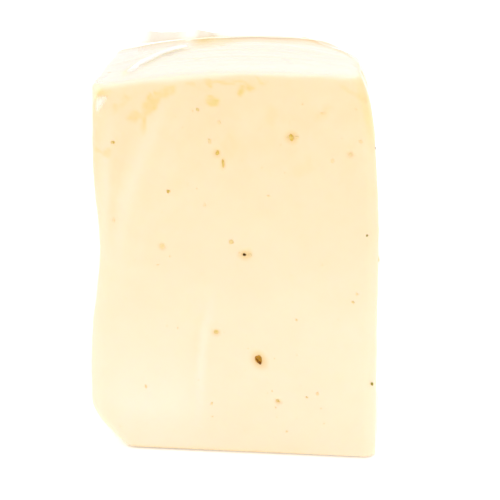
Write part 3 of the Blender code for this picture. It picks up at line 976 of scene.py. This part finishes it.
def shade_far_edge(skin):
    """The film over the far edge, dim where the brown line lies under it and golden beside that."""
    far_edge = ease(16.6, 18.2, skin.y) * ease(3.0, 1.4, FILM_OUT + under_top(skin.points))
    over_rim = within(skin.x, (-8.0, -2.0), (22.0, 11.0))
    skin.shade += (0.42 + 0.20 * over_rim) * far_edge
    skin.gold += 0.25 * (1.0 - over_rim) * far_edge
    skin.warm += 0.7 * far_edge


def line_folds(skin):
    """Thin lines beside the diagonal fold, and the slanted fold at the right of the top."""
    fold, along = from_path(skin.points, FOLD_PATH, ON_TOP)
    fold_x, fold_y = np.array(FOLD_PATH).T
    beside = fold * np.sign(skin.x - np.interp(skin.y, fold_y, fold_x))
    low_line = bell(beside, 0.5 * FOLD_WIDTH + 0.8, 0.8) * within(along, (0.12, 0.3), (1.0, 0.9))
    high_line = bell(beside, -0.5 * FOLD_WIDTH + 0.1, 0.7) * within(along, (0.0, 0.08), (0.45, 0.3))
    lines = np.maximum(low_line, 0.8 * high_line) * skin.top
    skin.veil -= 0.12 * lines
    skin.gold += 0.8 * lines
    right_fold, right_along = from_path(skin.points, RIGHT_FOLD, ON_TOP)
    line = bell(right_fold, 0.0, 0.8) * ease(1.0, 0.3, right_along) * skin.top
    skin.relief += 0.35 * line
    skin.shade += 0.35 * line
    skin.veil -= 0.4 * line


def hanging_pleats(across, z, reach, seed):
    """Pleats of uneven width and length that hang from the top edge of one face and fade out below."""
    rng = np.random.default_rng(seed)
    total = np.zeros(len(z))
    place = -reach
    while place < reach:
        place += rng.uniform(*HANGING_STEP)
        width = rng.uniform(*HANGING_WIDTH)
        length = rng.uniform(*HANGING_LENGTH)
        slant = rng.uniform(*HANGING_SLANT)
        off = (across - place - slant * (CHEESE_HEIGHT - z)) / width
        fade = ease(CHEESE_HEIGHT - length, CHEESE_HEIGHT - 0.2 * length, z)
        total += rng.uniform(*HANGING_STRENGTH) * np.exp(-np.abs(off) ** PLEAT_POWER) * fade
    return np.minimum(total, 1.2)


def hang_pleats(skin):
    """Pleats that run on down both ends and the back, and fade out."""
    for across, reach, face, seed in ((skin.y, 19.0, skin.side, 51), (skin.x, 42.0, skin.back, 52)):
        hang = hanging_pleats(across + 0.5 * ripples(skin.points, 26.0, seed), skin.z, reach, seed)
        skin.relief += 0.42 * hang * face
        skin.veil += 0.2 * hang * face
        skin.shade += 0.12 * hang * face


def lap_back(skin):
    """The lapped seam down the back, with the pull of the film to either side of it."""
    across = np.abs(skin.x - SEAM_X - 0.35 * np.sin(skin.z / 9.0))
    height = within(skin.z, (SEAM_FOOT - 2.0, SEAM_FOOT), (SEAM_TOP + 2.0, SEAM_TOP)) * skin.back
    in_seam = ease(SEAM_HALF_WIDTH + 0.3, SEAM_HALF_WIDTH - 0.4, across) * height
    seam_edge = bell(across, SEAM_HALF_WIDTH, 0.5) * height * np.where(skin.x > SEAM_X, 0.5, 0.3)
    pull = ripples(skin.points * (0.18, 1.0, 1.0), 6.5, 53) * skin.back
    pull *= np.exp(-np.abs(across - SEAM_HALF_WIDTH) / 9.0)
    skin.relief += 0.45 * in_seam + 0.16 * pull
    skin.veil += 0.10 * in_seam + 0.5 * seam_edge + 0.08 * ease(0.4, 1.4, pull)


def draw_in_foot(skin):
    """The foot, where the film is drawn in under the base."""
    tucked = ease(9.0, 1.0, skin.z) * (1.0 - skin.front)
    runs = ripples(skin.points * (1.0, 1.0, 0.25), 5.0, 54)
    skin.relief += 0.10 * runs * tucked
    skin.veil += 0.10 * ease(0.2, 1.2, runs) * tucked


def make_film(look):
    skin = Skin()
    for step in (
        crease_front, pinch_corner, clear_over_flecks, pleat_top, shade_far_edge, line_folds,
        hang_pleats, lap_back, draw_in_foot,
    ):
        step(skin)
    level = ease(0.0, 2.5, skin.z)
    points = skin.points + skin.normals * (skin.relief * level)[:, None]
    layers = {
        "veil": np.clip(skin.veil, -0.05, 0.97), "warm": np.clip(skin.warm, 0.0, 1.0),
        "shade": np.clip(skin.shade, 0.0, 1.0), "gold": np.clip(skin.gold, 0.0, 1.0),
    }
    film = mesh_object("film", points, skin.quads, layers)
    film.data.materials.append(look)
    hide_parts("film_wrap")


def make_sheet(name, look, x, y, z, layers):
    """A loose edge of the film, from a grid of places, its rows running along the edge."""
    rows, columns = z.shape
    places = np.stack([x, y, z], axis=2).reshape(-1, 3)
    index = np.arange(rows * columns).reshape(rows, columns)
    quads = np.stack([index[:-1, :-1], index[1:, :-1], index[1:, 1:], index[:-1, 1:]], axis=-1).reshape(-1, 4)
    full_layers = {key: np.broadcast_to(value, z.shape).ravel() for key, value in layers.items()}
    sheet = mesh_object(name, places, quads, full_layers)
    sheet.data.materials.append(look)


def make_fold(look):
    """The diagonal fold over the left of the top: a loose band of film that arches over the pleats."""
    shares = np.linspace(0.0, 1.0, 90)
    across = np.linspace(-1.0, 1.0, 21)
    line = along_path(FOLD_PATH, shares)
    ahead = np.gradient(line, axis=0)
    ahead /= np.linalg.norm(ahead, axis=1, keepdims=True)
    beside = np.stack([ahead[:, 1], -ahead[:, 0]], axis=1)
    swell = 0.55 + 0.25 * ease(0.0, 0.4, shares) + 0.4 * bell(shares, 0.92, 0.10)
    half = 0.5 * FOLD_WIDTH * (swell + 0.12 * np.sin(shares * 17.0))
    half *= ease(0.0, 0.1, shares) * ease(1.02, 0.97, shares) + 0.02
    plan = line[:, None] + beside[:, None] * (half[:, None] * across)[..., None]
    x, y = plan[..., 0], plan[..., 1]
    arch = FOLD_ARCH * (1.0 - across**2) ** 0.9 * within(shares, (0.0, 0.2), (1.0, 0.9))[:, None]
    wrinkle = FOLD_WRINKLE * np.sin(across * 7.0 + shares[:, None] * 9.0) * (1.0 - across**2)
    fade = within(shares, (0.0, 0.22), (1.0, 0.96))[:, None]
    veil = FOLD_VEIL * fade * (1.0 - across**2) ** 0.6
    layers = {"veil": veil, "warm": 0.0, "shade": 0.1 * across**4 * fade}
    make_sheet("film_fold", look, x, y, film_height(x, y) + 0.10 + arch + wrinkle, layers)


TAIL_SPAN = (-35.5, -3.0)
TAIL_FOOT = 19.6
TAIL_CREST = 126.9
TAIL_HUMP = 0.8
TAIL_VEIL = 0.80
TAIL_SHADE = 0.12


def make_tail(look):
    """The end of the film, left standing in a low waved flap at the back of the top."""
    across = np.linspace(0.0, 1.0, 110)[:, None]
    up = np.linspace(0.0, 1.0, 18)
    x = TAIL_SPAN[0] + (TAIL_SPAN[1] - TAIL_SPAN[0]) * across + 0.5 * up * np.sin(across * 5.0)
    wave = 0.5 * np.sin(2.0 * np.pi * 2.4 * across) + 0.15 * np.sin(2.0 * np.pi * 7.3 * across + 1.0)
    y = TAIL_FOOT + 0.8 * up**1.5 + wave * up
    foot = film_height(x, np.full_like(x, TAIL_FOOT)) - 0.5
    crest = TAIL_CREST + TAIL_HUMP * (ease(0.35, 0.6, across) - ease(0.62, 0.95, across))
    crest += 0.12 * np.sin(across * 23.0) - 0.9 * ease(0.14, 0.0, across)
    ripple = 0.5 + 0.5 * np.sin(across * 34.0 + 2.0 * np.sin(across * 9.0))
    thin = 0.45 * bell(across, 0.52, 0.09) + 0.85 * ease(0.74, 1.0, across)
    thin = np.minimum(thin + 0.8 * ease(0.16, 0.0, across), 1.0)
    layers = {
        "veil": (TAIL_VEIL + 0.1 * ripple) * (1.0 - thin), "warm": 1.0,
        "shade": TAIL_SHADE + 0.25 * bell(up, 0.1, 0.15),
    }
    make_sheet("film_tail", look, x, y, foot + (crest - foot) * up, layers)


def make_lap(look):
    """The free edge of the seam down the back, lifting a little from the layer below."""
    up = np.linspace(0.0, 1.0, 120)[:, None]
    across = np.linspace(0.0, 1.0, 10)
    z = SEAM_FOOT + (SEAM_TOP - SEAM_FOOT) * up + 0.0 * across
    width = LAP_WIDTH + 0.6 * np.sin(up * 11.0 + 1.0) + 0.15 * np.sin(up * 37.0)
    x = LAP_X + 0.5 * np.sin(up * 7.0) + width * across
    lift = 0.22 + 0.14 * np.sin(up * 9.0) + 0.06 * np.sin(up * 31.0 + 2.0)
    y = BACK + FILM_OUT + 0.50 + lift * across**1.6 - 0.30 * across
    make_sheet("film_lap", look, x, y, z, {"veil": 0.08 + 0.35 * across**6, "warm": 0.3, "shade": 0.0})


# light, floor and camera

CAMERA_DISTANCE = 800.0
CAMERA_AZIMUTH = 6.58
CAMERA_ELEVATION = 18.5
PIXELS_PER_MM = 3.227
PICTURE_WIDTH = 500
SENSOR = 36.0
CAMERA_TARGET = (5.906, -21.86, 68.64)
CLIP_END = 20.0

# lamps and floor, in metres: place, width and depth, power
LAMPS = {
    "front": ((-0.3, -1.2, 0.3), (1.2, 0.5), 0.5),
    "overhead": ((0.1, 0.25, 1.1), (1.6, 1.0), 4.5),
}
LAMP_TARGET = (0.0, 0.0, 0.06)
FLOOR_REACH = 6.0


def make_camera():
    azimuth, elevation = math.radians(CAMERA_AZIMUTH), math.radians(CAMERA_ELEVATION)
    level = math.cos(elevation)
    away = Vector((math.sin(azimuth) * level, -math.cos(azimuth) * level, math.sin(elevation)))
    data = bpy.data.cameras.new("camera")
    data.sensor_width = SENSOR
    data.lens = PIXELS_PER_MM * CAMERA_DISTANCE / PICTURE_WIDTH * SENSOR
    data.clip_end = CLIP_END
    camera = bpy.data.objects.new("camera", data)
    camera.location = (Vector(CAMERA_TARGET) + away * CAMERA_DISTANCE) * MM
    camera.rotation_euler = away.to_track_quat("Z", "Y").to_euler()
    bpy.context.scene.collection.objects.link(camera)
    bpy.context.scene.camera = camera


def make_lamp(name, place, size, power):
    data = bpy.data.lights.new(name, "AREA")
    data.shape = "RECTANGLE"
    data.size, data.size_y = size
    data.energy = power
    lamp = bpy.data.objects.new(name, data)
    lamp.location = place
    lamp.rotation_euler = (Vector(place) - Vector(LAMP_TARGET)).to_track_quat("Z", "Y").to_euler()
    bpy.context.scene.collection.objects.link(lamp)


def make_world():
    world = bpy.data.worlds.new("studio")
    world.use_nodes = True
    background = world.node_tree.nodes["Background"]
    background.inputs["Color"].default_value = (*WHITE, 1.0)
    background.inputs["Strength"].default_value = 1.0
    bpy.context.scene.world = world


def make_floor():
    n = Nodes("floor")
    colour = n.ramp(n.noise(*FLOOR_NOISE), ((0.3, (0.95, 0.95, 0.95)), (0.7, (0.97, 0.97, 0.97))))
    shader = n.add("ShaderNodeBsdfPrincipled", {
        "Base Color": colour, "Roughness": 0.6, "Specular IOR Level": 0.2,
        "Emission Color": WHITE, "Emission Strength": 0.3,
    })
    data = bpy.data.meshes.new("floor")
    corners = [(FLOOR_REACH * x, FLOOR_REACH * y, 0.0) for x, y in ((-1, -1), (1, -1), (1, 1), (-1, 1))]
    data.from_pydata(corners, [], [(0, 1, 2, 3)])
    floor = bpy.data.objects.new("floor", data)
    floor.data.materials.append(n.out(shader.outputs[0]))
    bpy.context.scene.collection.objects.link(floor)


cheese_points, cheese_normals = make_cheese()
make_flecks(cheese_points, cheese_normals)
film_look = film_material("film", WARM_MILK)
make_film(film_look)
make_fold(film_look)
make_tail(film_material("film_end", WARM_MILK_END))
make_lap(film_look)
make_world()
make_floor()
for lamp_name, lamp_values in LAMPS.items():
    make_lamp(lamp_name, *lamp_values)
make_camera()
bpy.context.scene.view_settings.view_transform = "Standard"
